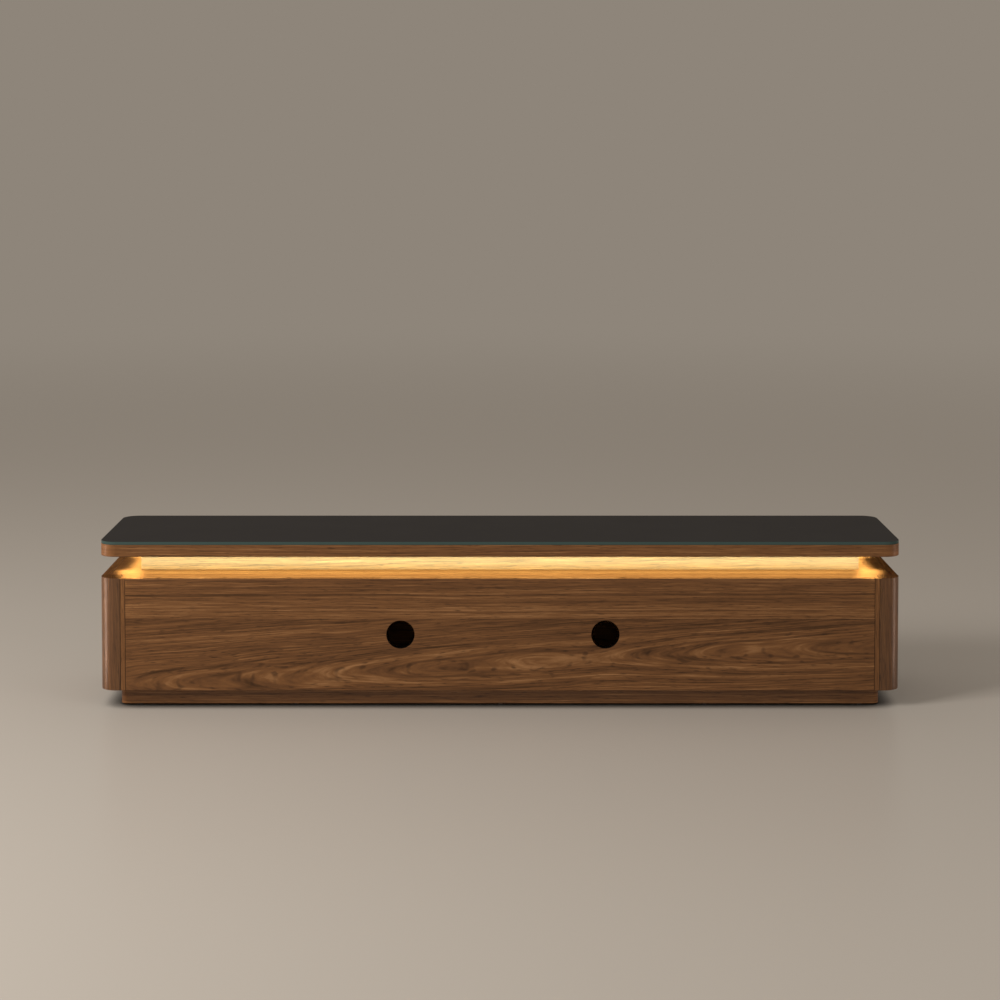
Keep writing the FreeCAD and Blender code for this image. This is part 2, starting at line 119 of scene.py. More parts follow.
# %% Coordinates along the grain
GRAIN_TURN = {"x": (0.0, 0.0, 0.0), "y": (0.0, 0.0, -math.pi / 2), "z": (0.0, math.pi / 2, 0.0),
              "round": (0.0, 0.0, 0.0)}
BEND_LENGTH = (2 / 3, 0.2, 0.2)               # metres from one bend of the grain to the next
BEND_REACH = (0.0, 30 * MM, 18 * MM)          # how far the grain strays from its line


def along_grain(tree, place, along, start, lean):
    """Coordinates with the grain along x. A round grain runs about the outline of a board."""
    if along == "round":
        split = add(tree, "ShaderNodeSeparateXYZ", {"Vector": place}).outputs
        run = add(tree, "ShaderNodeMath", {0: split["X"], 1: split["Y"]}, operation="ADD").outputs[0]
        place = add(tree, "ShaderNodeCombineXYZ", {"X": run, "Z": split["Z"]}).outputs[0]
    turned = add(tree, "ShaderNodeMapping", {"Vector": place, "Rotation": GRAIN_TURN[along]}).outputs[0]
    tilt = (0.0, math.radians(lean[0]), math.radians(lean[1]))
    leaned = {"Vector": turned, "Location": start, "Rotation": tilt}
    board = add(tree, "ShaderNodeMapping", leaned).outputs[0]
    bends = tuple(1 / length for length in BEND_LENGTH)
    slow = add(tree, "ShaderNodeVectorMath", {0: board, 1: bends}, operation="MULTIPLY").outputs[0]
    drift = add(tree, "ShaderNodeTexNoise", {"Vector": slow, "Scale": 1.0, "Detail": 2.0}).outputs["Color"]
    centred = add(tree, "ShaderNodeVectorMath", {0: drift, 1: (0.5, 0.5, 0.5)},
                  operation="SUBTRACT").outputs[0]
    bent = {0: centred, 1: BEND_REACH, 2: board}
    return add(tree, "ShaderNodeVectorMath", bent, operation="MULTIPLY_ADD").outputs[0]


print("grain directions", list(GRAIN_TURN))

# %% [markdown]
# A slice through a trunk cuts its growth rings at a shallow angle, so they show as long leaning bands and
# flat arches. The distance from the heart of the trunk gives each ring its tone. Fine fibres and short
# open pores follow the rings, so their noise is stretched in the same bent space: along the trunk,
# outwards from the heart, and slowly with the height.

# %% Rings, fibres and pores
RING_WIDTH = 6 * MM
STREAKS = {                                   # length and thickness in mm, and noise detail
    "cloud": (900.0, 14.0, 2.0),
    "fibre": (110.0, 1.6, 3.0),               # real fibres and pores are a third as thick or less:
    "pore": (30.0, 1.9, 1.0),                 # they are drawn coarser, so that they show at all
}
SLANT = 0.05                                  # how fast streaks change from side to side of the heart


def rings_and_streaks(tree, grain, heart):
    """Noise patterns by name, in a trunk with its heart at a point."""
    offset = add(tree, "ShaderNodeVectorMath", {0: grain, 1: heart}, operation="SUBTRACT").outputs[0]
    across = add(tree, "ShaderNodeVectorMath", {0: offset, 1: (0.0, 1.0, 1.0)},
                 operation="MULTIPLY").outputs[0]
    radius = add(tree, "ShaderNodeVectorMath", {0: across}, operation="LENGTH").outputs["Value"]
    age = add(tree, "ShaderNodeMath", {0: radius, 1: RING_WIDTH}, operation="DIVIDE").outputs[0]
    years = {"W": age, "Scale": 1.0, "Detail": 3.0, "Roughness": 0.6}
    patterns = {"ring": add(tree, "ShaderNodeTexNoise", years, noise_dimensions="1D").outputs[0]}

    split = add(tree, "ShaderNodeSeparateXYZ", {"Vector": grain}).outputs
    slant = add(tree, "ShaderNodeMath", {0: split["Z"], 1: SLANT}, operation="MULTIPLY").outputs[0]
    flow = add(tree, "ShaderNodeCombineXYZ", {"X": split["X"], "Y": radius, "Z": slant}).outputs[0]
    for streak, (length, thickness, detail) in STREAKS.items():
        scale = (1 / (length * MM), 1 / (thickness * MM), 1 / (thickness * MM))
        stretched = add(tree, "ShaderNodeVectorMath", {0: flow, 1: scale}, operation="MULTIPLY").outputs[0]
        noise = {"Vector": stretched, "Scale": 1.0, "Detail": detail, "Roughness": 0.62}
        patterns[streak] = add(tree, "ShaderNodeTexNoise", noise).outputs[0]
    return patterns


print("rings every mm", RING_WIDTH / MM, "streaks", list(STREAKS))

# %% [markdown]
# The long rear panel is higher than one leaf of veneer is wide, so two leaves meet in a level joint. The
# upper leaf comes from another place in the trunk: its coordinates are moved and turned before the wood
# is grown in them. The upper leaf is a little lighter along the joint and the lower one a little darker,
# which makes the joint show as a step in tone rather than as a drawn line.

# %% Two leaves of veneer
JOINT_HEIGHT = 227 * MM
JOINT_FADE = 45 * MM                          # the step in tone fades out over this height
JOINT_STEP = 0.13


def two_leaves(tree, place, leaf, lean):
    """Coordinates that change to another leaf above the joint, and the step in tone along it."""
    height = add(tree, "ShaderNodeSeparateXYZ", {"Vector": place}).outputs["Z"]
    offset = add(tree, "ShaderNodeMath", {0: height, 1: JOINT_HEIGHT}, operation="SUBTRACT").outputs[0]
    above = add(tree, "ShaderNodeMath", {0: offset, 1: 0.0}, operation="GREATER_THAN").outputs[0]
    level_again = (0.0, -math.radians(lean[0]), 0.0)
    moved = {"Vector": place, "Location": leaf, "Rotation": level_again}
    other = add(tree, "ShaderNodeMapping", moved).outputs[0]
    place = add(tree, "ShaderNodeMix", {0: above, 4: place, 5: other}, data_type="VECTOR").outputs[1]
    reach = add(tree, "ShaderNodeMath", {0: offset}, operation="ABSOLUTE").outputs[0]
    fading = {"Value": reach, "From Max": JOINT_FADE, "To Min": JOINT_STEP, "To Max": 0.0}
    fade = add(tree, "ShaderNodeMapRange", fading).outputs[0]
    side = add(tree, "ShaderNodeMath", {0: offset}, operation="SIGN").outputs[0]
    step = add(tree, "ShaderNodeMath", {0: fade, 1: side}, operation="MULTIPLY").outputs[0]
    return place, step


print("veneer joint at mm", JOINT_HEIGHT / MM)

# %% [markdown]
# The patterns now become a finish. Their sum picks a colour from dark late wood to paler early wood, and
# open pores darken it. Satin lacquer lies over the wood: it sinks a little into the pores, and dense
# fibres shine more than soft ones, so the relief and the roughness come from the same patterns.

# %% Walnut under satin lacquer
WALNUT = {0.20: "#412A16", 0.42: "#614026", 0.60: "#734D2D", 0.86: "#966C46"}     # tone and colour
RING_SHARE, FIBRE_SHARE, CLOUD_SHARE = 0.6, 1.1, 0.5
PORE = "#2A1A10"
PORE_OPENS, PORE_FULL, PORE_DEPTH = 0.58, 0.72, 0.55
LACQUER_RELIEF = 0.4 * MM
SHEEN_RANGE = 0.06                            # roughness that fibres add or take away
SOFT_FIBRE, DENSE_FIBRE = 0.3, 0.7            # fibre noise from the dullest to the shiniest wood
UPRIGHT, FLAT = 0.3, 0.9                      # how far a face looks upwards, from full shine to none


def walnut(name, along, start=(0.0, 0.0, 0.0), level=1.0, lean=(0.0, 0.0), heart=(0.0, 55 * MM, 20 * MM),
           gloss=0.25, rough=0.42, figure=1.0, leaf=None):
    """Satin lacquered walnut with its grain along x, y or z, or round the outline of a board."""
    material, tree = new_material(name)
    coords = add(tree, "ShaderNodeTexCoord").outputs
    place, step = coords["Object"], None
    if leaf:
        place, step = two_leaves(tree, place, leaf, lean)
    grain = along_grain(tree, place, along, start, lean)
    patterns = rings_and_streaks(tree, grain, heart)

    shares = {"ring": RING_SHARE * figure, "fibre": FIBRE_SHARE, "cloud": CLOUD_SHARE * figure}
    tone = 0.5 - sum(shares.values()) / 2
    for pattern, share in shares.items():
        summed = {0: patterns[pattern], 1: share, 2: tone}
        tone = add(tree, "ShaderNodeMath", summed, operation="MULTIPLY_ADD").outputs[0]
    if leaf:
        tone = add(tree, "ShaderNodeMath", {0: tone, 1: step}, operation="ADD").outputs[0]
    ramp = add(tree, "ShaderNodeValToRGB", {"Fac": tone})
    stops = ramp.color_ramp.elements
    while len(stops) < len(WALNUT):
        stops.new(0.5)
    for stop, (position, code) in zip(stops, WALNUT.items()):
        stop.position = position
        stop.color = linear(code, level)
    pores = add(tree, "ShaderNodeMapRange", {"Value": patterns["pore"], "From Min": PORE_OPENS,
                                             "From Max": PORE_FULL, "To Max": PORE_DEPTH}).outputs[0]
    colour = add(tree, "ShaderNodeMix", {0: pores, 6: ramp.outputs[0], 7: linear(PORE, level)},
                 data_type="RGBA").outputs[2]

    relief = add(tree, "ShaderNodeMath", {0: patterns["fibre"], 1: pores}, operation="SUBTRACT").outputs[0]
    bump = add(tree, "ShaderNodeBump", {"Height": relief, "Strength": 0.1,
                                        "Distance": LACQUER_RELIEF}).outputs[0]
    sheen = add(tree, "ShaderNodeMapRange", {"Value": patterns["fibre"], "From Min": SOFT_FIBRE,
                                             "From Max": DENSE_FIBRE, "To Min": rough + SHEEN_RANGE,
                                             "To Max": rough - SHEEN_RANGE}).outputs[0]
    # Level faces are rubbed duller than upright ones, so that they don't mirror the room at a low angle.
    upward = add(tree, "ShaderNodeSeparateXYZ", {"Vector": coords["Normal"]}).outputs["Z"]
    shine = add(tree, "ShaderNodeMapRange", {"Value": upward, "From Min": UPRIGHT, "From Max": FLAT,
                                             "To Min": gloss, "To Max": 0.0}).outputs[0]
    coat = {"Base Color": colour, "Roughness": sheen, "Normal": bump, "Specular IOR Level": shine}
    lacquer = add(tree, "ShaderNodeBsdfPrincipled", coat)
    add(tree, "ShaderNodeOutputMaterial", {"Surface": lacquer.outputs[0]})
    return material


print("walnut tones", len(WALNUT))

# %% [markdown]
# Each board gets wood of its own: another place in the trunk, another lean, and more or less figure. The
# posts and lippings are solid and upright in grain. The posts are polished more, so that their rounded
# corners catch a line of light. The deck is rubbed dull, so that the lamps above it don't glare in it.

# %% Walnut for each board
rear_walnut = walnut("walnut_veneer_rear_panel", "x", level=0.95, lean=(3.0, 1.2),
                     heart=(0.0, -115 * MM, 110 * MM), leaf=(0.7, 0.0, 0.4))
front_walnut = walnut("walnut_veneer_fronts", "x", start=(0.4, 0.0, 0.05), lean=(-1.2, 1.8))
deck_walnut = walnut("walnut_veneer_deck", "x", start=(0.9, 0.9, 0.1), lean=(1.0, 1.0), gloss=0.1,
                     rough=0.6, figure=0.5)
neck_walnut = walnut("walnut_veneer_neck", "x", start=(0.2, 0.1, 0.4), lean=(0.8, 1.5), figure=0.4)
inner_walnut = walnut("walnut_veneer_inside", "y", start=(0.1, 0.7, 0.2), lean=(1.5, 1.0))
side_walnut = walnut("walnut_veneer_sides", "y", start=(0.6, 0.2, 0.6), lean=(1.5, 0.6))
edge_walnut = walnut("walnut_lipped_top_board", "round", start=(0.3, 0.0, 0.9))
# The plinth's walnut is a lighter copy, as painted light that lifts it from the shade under the body.
plinth_walnut = walnut("walnut_veneer_plinth", "round", start=(0.8, 0.0, 0.3), level=1.12, figure=0.6)
# The posts' walnut is a darker copy, as painted shade that holds back the extra light the lamps give them.
post_walnut = walnut("walnut_solid_posts", "z", start=(0.2, 0.05, 0.1), level=0.67, lean=(1.0, 1.0),
                     gloss=0.5, rough=0.33, figure=0.4)
strip_walnut = walnut("walnut_solid_lippings", "z", start=(0.5, 0.3, 0.2), lean=(0.5, 0.5), figure=0.4)
print("walnut finishes", len([m for m in bpy.data.materials if m.name.startswith("walnut")]))

# %% [markdown]
# The two cable outlets are plain round cuts. Their bored walls are coloured black as painted shade, so
# they read as dark discs from any side. The painted shade is a mask in the panel's own finish: wherever a
# point lies within the bore's radius of an outlet's axis, the wood gives way to black. The axes and the
# radius come from the stand's record.

# %% Painted shade in the cable outlets
# Colour of the painted shade in the bores.
BORE_SHADE = "#0A0908"
SHADE_EDGE = 0.3 * MM


def lay_painted_shade(material, mask, code):
    """Lays a colour of painted shade over a finish where the mask is one."""
    tree = material.node_tree
    shader = next(node for node in tree.nodes if node.type == "BSDF_PRINCIPLED")
    below = shader.inputs["Base Color"].links[0].from_socket
    mixed = add(tree, "ShaderNodeMix", {0: mask, 6: below, 7: linear(code)}, data_type="RGBA").outputs[2]
    tree.links.new(mixed, shader.inputs["Base Color"])


outlets = [mount for mount in record["mounts"] if mount["kind"] == "bore"]
tree = rear_walnut.node_tree
place = add(tree, "ShaderNodeTexCoord").outputs["Object"]
for outlet in outlets:
    offset = add(tree, "ShaderNodeVectorMath", {0: place, 1: outlet["pos_m"]},
                 operation="SUBTRACT").outputs[0]
    flat = add(tree, "ShaderNodeVectorMath", {0: offset, 1: (1.0, 0.0, 1.0)},
               operation="MULTIPLY").outputs[0]
    reach = add(tree, "ShaderNodeVectorMath", {0: flat}, operation="LENGTH").outputs["Value"]
    limit = outlet["dims"]["r_mm"] * MM + SHADE_EDGE
    inside = add(tree, "ShaderNodeMath", {0: reach, 1: limit}, operation="LESS_THAN").outputs[0]
    lay_painted_shade(rear_walnut, inside, BORE_SHADE)
print("outlets painted", len(outlets))

# %% [markdown]
# A solid lipping covers each end of the long panels. The two fine joints beside it get painted shade, so
# they show as thin dark lines. The same kind of mask draws them: it grows with the distance from the
# lipping's middle.

# %% Painted shade in the joints beside the lippings
# Colour of the painted shade in the joints.
JOINT_SHADE = "#21130A"
LINE_SOFT, LINE_FULL = 1.8 * MM, 0.9 * MM     # from the lipping's edge: real joints are finer
LINE_SHARE = 0.8
lipping_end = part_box("rear_lippings")[1].x
panel_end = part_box("rear_panel")[1].x
strip_middle = (panel_end + lipping_end) / 2
strip_half = (lipping_end - panel_end) / 2
tree = strip_walnut.node_tree
place = add(tree, "ShaderNodeTexCoord").outputs["Object"]
along = add(tree, "ShaderNodeSeparateXYZ", {"Vector": place}).outputs["X"]
side = add(tree, "ShaderNodeMath", {0: along}, operation="ABSOLUTE").outputs[0]
offset = add(tree, "ShaderNodeMath", {0: side, 1: strip_middle}, operation="SUBTRACT").outputs[0]
reach = add(tree, "ShaderNodeMath", {0: offset}, operation="ABSOLUTE").outputs[0]
line = add(tree, "ShaderNodeMapRange", {"Value": reach, "From Min": strip_half - LINE_SOFT,
                                        "From Max": strip_half - LINE_FULL, "To Max": LINE_SHARE}).outputs[0]
lay_painted_shade(strip_walnut, line, JOINT_SHADE)
print("lipping width mm", round(2 * strip_half / MM, 1))

# %% [markdown]
# The top is toughened glass, painted black on its back and etched to a satin face. It gives a soft grey
# sheen without a mirror image. Its ground edge isn't painted, so light leaves it green. One material does
# both: the direction of the surface tells the edge from the face.

# %% Back-painted satin glass
SMUDGE_SIZE = 200 * MM
GLASS_IOR = 1.52
GLASS_SHINE = 0.16
EDGE_TURN, FACE_TURN = 0.55, 0.95             # how far the surface looks upwards, on the edge and the face
EDGE_ROUGH, FACE_SMOOTHEST, FACE_ROUGHEST = 0.18, 0.50, 0.58
black_glass, tree = new_material("glass_back_painted_satin")
coords = add(tree, "ShaderNodeTexCoord").outputs
upward = add(tree, "ShaderNodeSeparateXYZ", {"Vector": coords["Normal"]}).outputs["Z"]
facing = add(tree, "ShaderNodeMapRange", {"Value": upward, "From Min": EDGE_TURN,
                                          "From Max": FACE_TURN}).outputs[0]
smudge = add(tree, "ShaderNodeTexNoise", {"Vector": coords["Object"], "Scale": 1 / SMUDGE_SIZE,
                                          "Detail": 3.0}).outputs[0]
face = add(tree, "ShaderNodeMix", {0: smudge, 6: linear("#201E1F"), 7: linear("#242223")},
           data_type="RGBA").outputs[2]
colour = add(tree, "ShaderNodeMix", {0: facing, 6: linear("#3A4A47"), 7: face}, data_type="RGBA").outputs[2]
satin = add(tree, "ShaderNodeMapRange", {"Value": smudge, "To Min": FACE_SMOOTHEST,
                                         "To Max": FACE_ROUGHEST}).outputs[0]
rough = add(tree, "ShaderNodeMix", {0: facing, 2: EDGE_ROUGH, 3: satin}).outputs[0]
glass = add(tree, "ShaderNodeBsdfPrincipled", {"Base Color": colour, "Roughness": rough, "IOR": GLASS_IOR,
                                               "Specular IOR Level": GLASS_SHINE})
add(tree, "ShaderNodeOutputMaterial", {"Surface": glass.outputs[0]})
print("glass nodes", len(tree.nodes))

# %% [markdown]
# The lamp profiles are extruded aluminium, anodised to a satin grey. Drawing the metal through the die
# leaves fine lines along its length, which show as a soft streaked gloss.

# %% Satin anodised aluminium
DIE_LINES = (25 * MM, 25 * MM, 0.4 * MM)      # real lines are finer: drawn coarser, so that they show
aluminium, tree = new_material("aluminium_satin_anodised")
place = add(tree, "ShaderNodeTexCoord").outputs["Object"]
fineness = tuple(1 / size for size in DIE_LINES)
drawn = add(tree, "ShaderNodeVectorMath", {0: place, 1: fineness}, operation="MULTIPLY").outputs[0]
lines = add(tree, "ShaderNodeTexNoise", {"Vector": drawn, "Scale": 1.0, "Detail": 2.0}).outputs[0]
colour = add(tree, "ShaderNodeMix", {0: lines, 6: linear("#A9ABAD"), 7: linear("#C6C8CA")},
             data_type="RGBA").outputs[2]
rough = add(tree, "ShaderNodeMapRange", {"Value": lines, "To Min": 0.34, "To Max": 0.5}).outputs[0]
metal = add(tree, "ShaderNodeBsdfPrincipled", {"Base Color": colour, "Roughness": rough, "Metallic": 1.0})
add(tree, "ShaderNodeOutputMaterial", {"Surface": metal.outputs[0]})
print("aluminium nodes", len(tree.nodes))

# %% [markdown]
# The slides, hinges and screws are zinc-plated steel. It is greyer than the aluminium, with the faint
# cloudy spangle of the plating: small cells, dulled here and there by a haze.

# %% Zinc-plated steel
SPANGLE_SIZE, HAZE_SIZE = 9 * MM, 30 * MM
zinc_steel, tree = new_material("steel_zinc_plated")
place = add(tree, "ShaderNodeTexCoord").outputs["Object"]
spangle = add(tree, "ShaderNodeTexVoronoi", {"Vector": place,
                                             "Scale": 1 / SPANGLE_SIZE}).outputs["Distance"]
haze = add(tree, "ShaderNodeTexNoise", {"Vector": place, "Scale": 1 / HAZE_SIZE, "Detail": 3.0}).outputs[0]
cloudy = add(tree, "ShaderNodeMath", {0: spangle, 1: haze}, operation="MULTIPLY").outputs[0]
colour = add(tree, "ShaderNodeMix", {0: cloudy, 6: linear("#9FA3A6"), 7: linear("#C4C5C0")},
             data_type="RGBA").outputs[2]
rough = add(tree, "ShaderNodeMapRange", {"Value": haze, "To Min": 0.28, "To Max": 0.44}).outputs[0]
metal = add(tree, "ShaderNodeBsdfPrincipled", {"Base Color": colour, "Roughness": rough, "Metallic": 1.0})
add(tree, "ShaderNodeOutputMaterial", {"Surface": metal.outputs[0]})
print("zinc nodes", len(tree.nodes))

# %% [markdown]
# The drawer boxes are birch plywood. Its faces are pale with a faint wavy figure, and its edges show the
# thin crossed plies. The plies are a solid pattern too: bands across the thickness, which are level on a
# face and so show only where the board is cut.

# %% Birch plywood
PLY_THICKNESS = 1.5 * MM
PLY_SHADE = 0.45                              # how much darker every other ply is
PLY_ACROSS = {"sides": (1.0, 0.0, 0.0), "back": (0.0, 1.0, 0.0), "bottom": (0.0, 0.0, 1.0)}
BIRCH_FIGURE = (1 / 9, 1 / 9, 1 / 34)         # metres from one wave of the figure to the next


def birch_plywood(name, across):
    """Clear lacquered plywood, with its plies stacked along a direction."""
    material, tree = new_material(name)
    place = add(tree, "ShaderNodeTexCoord").outputs["Object"]
    depth = add(tree, "ShaderNodeVectorMath", {0: place, 1: across},
                operation="DOT_PRODUCT").outputs["Value"]
    count = add(tree, "ShaderNodeMath", {0: depth, 1: 2 * PLY_THICKNESS}, operation="DIVIDE").outputs[0]
    phase = add(tree, "ShaderNodeMath", {0: count}, operation="FRACT").outputs[0]
    crossed = add(tree, "ShaderNodeMath", {0: phase, 1: 0.5}, operation="GREATER_THAN").outputs[0]
    waves = tuple(1 / size for size in BIRCH_FIGURE)
    flow = add(tree, "ShaderNodeVectorMath", {0: place, 1: waves}, operation="MULTIPLY").outputs[0]
    figure = add(tree, "ShaderNodeTexNoise", {"Vector": flow, "Scale": 1.0, "Detail": 4.0,
                                              "Distortion": 1.2}).outputs[0]
    pale = add(tree, "ShaderNodeMix", {0: figure, 6: linear("#C9AE83"), 7: linear("#E0CBA4")},
               data_type="RGBA").outputs[2]
    dark = add(tree, "ShaderNodeMath", {0: crossed, 1: PLY_SHADE}, operation="MULTIPLY").outputs[0]
    colour = add(tree, "ShaderNodeMix", {0: dark, 6: pale, 7: linear("#9A7446")},
                 data_type="RGBA").outputs[2]
    lacquer = add(tree, "ShaderNodeBsdfPrincipled", {"Base Color": colour, "Roughness": 0.5})
    add(tree, "ShaderNodeOutputMaterial", {"Surface": lacquer.outputs[0]})
    return material


birch = {board: birch_plywood("birch_plywood_" + board, across) for board, across in PLY_ACROSS.items()}
print("birch finishes", list(birch))

# %% [markdown]
# The hidden ribs, bearers and packers are planed pine. Its rings run along the piece as wide soft bands,
# and the planed face stays dull.

# %% Planed pine
PINE_BANDS = (1 / 60, 1 / 4, 1 / 60)          # metres from one band to the next
pine, tree = new_material("pine_planed")
place = add(tree, "ShaderNodeTexCoord").outputs["Object"]
bands = tuple(1 / size for size in PINE_BANDS)
flow = add(tree, "ShaderNodeVectorMath", {0: place, 1: bands}, operation="MULTIPLY").outputs[0]
rings = add(tree, "ShaderNodeTexNoise", {"Vector": flow, "Scale": 1.0, "Detail": 3.0}).outputs[0]
colour = add(tree, "ShaderNodeMix", {0: rings, 6: linear("#B58A55"), 7: linear("#DDBB86")},
             data_type="RGBA").outputs[2]
planed = add(tree, "ShaderNodeBsdfPrincipled", {"Base Color": colour, "Roughness": 0.6})
add(tree, "ShaderNodeOutputMaterial", {"Surface": planed.outputs[0]})
print("pine nodes", len(tree.nodes))

# %% [markdown]
# The small moulded parts are plastic. Moulding leaves a fine, even grain that scatters the light, so each
# gets a little noise in its colour, roughness and relief. Three colours cover them all: black for the
# driver, its socket, the glides and the leads, white for the catches and the splitter, and the white
# lacquer of the LED tape.

# %% Moulded plastics
WEAR_RANGE = 0.08                             # roughness that the grain adds or takes away
GRAIN_RELIEF = 0.05 * MM


def moulded(name, code, rough, grain):
    """Plastic with a moulded grain of this many mm."""
    material, tree = new_material(name)
    place = add(tree, "ShaderNodeTexCoord").outputs["Object"]
    texture = add(tree, "ShaderNodeTexNoise", {"Vector": place, "Scale": 1 / (grain * MM),
                                               "Detail": 2.0}).outputs[0]
    colour = add(tree, "ShaderNodeMix", {0: texture, 6: linear(code, 0.85), 7: linear(code, 1.1)},
                 data_type="RGBA").outputs[2]
    worn = add(tree, "ShaderNodeMapRange", {"Value": texture, "To Min": rough - WEAR_RANGE,
                                            "To Max": rough + WEAR_RANGE}).outputs[0]
    bump = add(tree, "ShaderNodeBump", {"Height": texture, "Strength": 0.2,
                                        "Distance": GRAIN_RELIEF}).outputs[0]
    skin = {"Base Color": colour, "Roughness": worn, "Normal": bump}
    plastic = add(tree, "ShaderNodeBsdfPrincipled", skin)
    add(tree, "ShaderNodeOutputMaterial", {"Surface": plastic.outputs[0]})
    return material


# Real moulded grain is near a tenth of these sizes: it is drawn coarser, so that it shows.
black_plastic = moulded("abs_black_moulded", "#1C1C1E", 0.55, 1.2)
white_plastic = moulded("nylon_white_moulded", "#DEDDD8", 0.45, 1.5)
black_lead = moulded("pvc_black_extruded", "#171717", 0.5, 2.0)
tape_board = moulded("led_tape_white_lacquer", "#EFEDE4", 0.4, 3.0)
print("plastics", [finish.name for finish in (black_plastic, white_plastic, black_lead, tape_board)])

# %% [markdown]
# The lens over the LEDs is opal polycarbonate. It scatters the light of the single LEDs into one even
# warm bar, so it is a white plastic that also gives light.

# %% Opal lens
LED_LIGHT = "#F6F3BE"
LENS_GLOW = 0.8
OPAL_CLOUD = 16 * MM
opal, tree = new_material("polycarbonate_opal_lit")
place = add(tree, "ShaderNodeTexCoord").outputs["Object"]
cloud = add(tree, "ShaderNodeTexNoise", {"Vector": place, "Scale": 1 / OPAL_CLOUD,
                                         "Detail": 1.0}).outputs[0]
colour = add(tree, "ShaderNodeMix", {0: cloud, 6: linear("#F2E7D2"), 7: linear("#FBF4E6")},
             data_type="RGBA").outputs[2]
lens = add(tree, "ShaderNodeBsdfPrincipled", {"Base Color": colour, "Roughness": 0.4,
                                              "Emission Color": linear(LED_LIGHT),
                                              "Emission Strength": LENS_GLOW})
add(tree, "ShaderNodeOutputMaterial", {"Surface": lens.outputs[0]})
print("lens glow", LENS_GLOW)

# %% [markdown]
# Each solid now takes its finish. A table of finishes with the pieces that wear them keeps this readable,
# and the count at the end tells whether a piece was left bare.

# %% Finishes on the pieces
POSTS = ["post_rear_left", "post_rear_right", "post_front_left", "post_front_right"]
FRONTS = ["left_drawer_front", "right_drawer_front", "left_flap_board", "right_flap_board"]
SIDES = ["side_panel_left", "side_panel_right"]
LIPPINGS = ["rear_lippings", "front_lippings"]
LONG_NECK = ["neck_rear_board", "neck_front_board"]
LONG_PLINTH = ["plinth_rear_rail", "plinth_front_rail"]
finishes = [
    (black_glass, ["glass_top"]),
    (edge_walnut, ["top_board"]),
    (neck_walnut, LONG_NECK),
    (inner_walnut, ["neck_ends", "divider_left", "divider_centre", "divider_right"]),
    (deck_walnut, ["deck_panel", "bottom_panel"]),
    (rear_walnut, ["rear_panel"]),
    (side_walnut, SIDES),
    (front_walnut, FRONTS),
    (plinth_walnut, LONG_PLINTH + ["plinth_end_rails"]),
    (post_walnut, POSTS),
    (strip_walnut, LIPPINGS),
    (birch["sides"], ["left_drawer_sides", "right_drawer_sides", "carcass_dowels"]),
    (birch["back"], ["left_drawer_back", "right_drawer_back"]),
    (birch["bottom"], ["left_drawer_bottom", "right_drawer_bottom"]),
    (pine, ["neck_ribs", "plinth_bearers", "slide_packers"]),
    (aluminium, ["led_profile_long", "led_profile_end"]),
    (opal, ["led_lens_long", "led_lens_end"]),
    (tape_board, ["led_tape_long", "led_tape_end"]),
    (black_plastic, ["led_driver", "led_inlet", "floor_glides"]),
    (white_plastic, ["magnet_catches", "led_splitter"]),
    (black_lead, ["led_leads"]),
    (zinc_steel, ["slide_cabinet_members", "left_slide_middles", "right_slide_middles", "neck_screws",
                  "left_drawer_slide_members", "right_drawer_slide_members", "hinge_fixed_leaves",
                  "hinge_pins", "left_flap_leaves", "right_flap_leaves", "left_flap_strike",
                  "right_flap_strike"]),
]
dressed = set()
for finish, pieces in finishes:
    for piece in pieces:
        for slot in nodes[piece].material_slots:
            slot.material = finish
        dressed.add(piece)
print("dressed", len(dressed), "left over", sorted(set(nodes) - dressed))

# %% [markdown]
# Screws and bumpers repeat along the hinges, slides and dividers. Each is the same small turned shape set
# on a list of points, which is what Geometry Nodes does well. The tree takes the points of a mesh, sets a
# cone frustum on each, adds a cross of two bars where a screw has its recess, and turns everything to
# face the way the input says.

# %% A tree that sets fixings on points
HEAD_SIDES = 16
QUARTER = math.pi / 2
fixing_tree = bpy.data.node_groups.new("fixings_on_points", "GeometryNodeTree")
sockets = [("Points", "NodeSocketGeometry"), ("Top Radius", "NodeSocketFloat"),
           ("Bottom Radius", "NodeSocketFloat"), ("Height", "NodeSocketFloat"),
           ("Recess", "NodeSocketVector"), ("Facing", "NodeSocketRotation"),
           ("Head Finish", "NodeSocketMaterial"), ("Recess Finish", "NodeSocketMaterial")]
for name, kind in sockets:
    fixing_tree.interface.new_socket(name, in_out="INPUT", socket_type=kind)
fixing_tree.interface.new_socket("Fixings", in_out="OUTPUT", socket_type="NodeSocketGeometry")
given = add(fixing_tree, "NodeGroupInput").outputs
head = add(fixing_tree, "GeometryNodeMeshCone", {"Vertices": HEAD_SIDES, "Radius Top": given["Top Radius"],
                                                 "Radius Bottom": given["Bottom Radius"],
                                                 "Depth": given["Height"]}).outputs["Mesh"]
bar = add(fixing_tree, "GeometryNodeMeshCube", {"Size": given["Recess"]}).outputs["Mesh"]
crossbar = add(fixing_tree, "GeometryNodeTransform", {"Geometry": bar,
                                                      "Rotation": (0.0, 0.0, QUARTER)}).outputs[0]
cross = add(fixing_tree, "GeometryNodeJoinGeometry", {0: bar})
fixing_tree.links.new(crossbar, cross.inputs[0])
lift = add(fixing_tree, "ShaderNodeCombineXYZ", {"Z": given["Height"]}).outputs[0]
raised = add(fixing_tree, "GeometryNodeTransform", {"Geometry": cross.outputs[0],
                                                    "Translation": lift}).outputs[0]
whole = add(fixing_tree, "GeometryNodeJoinGeometry")
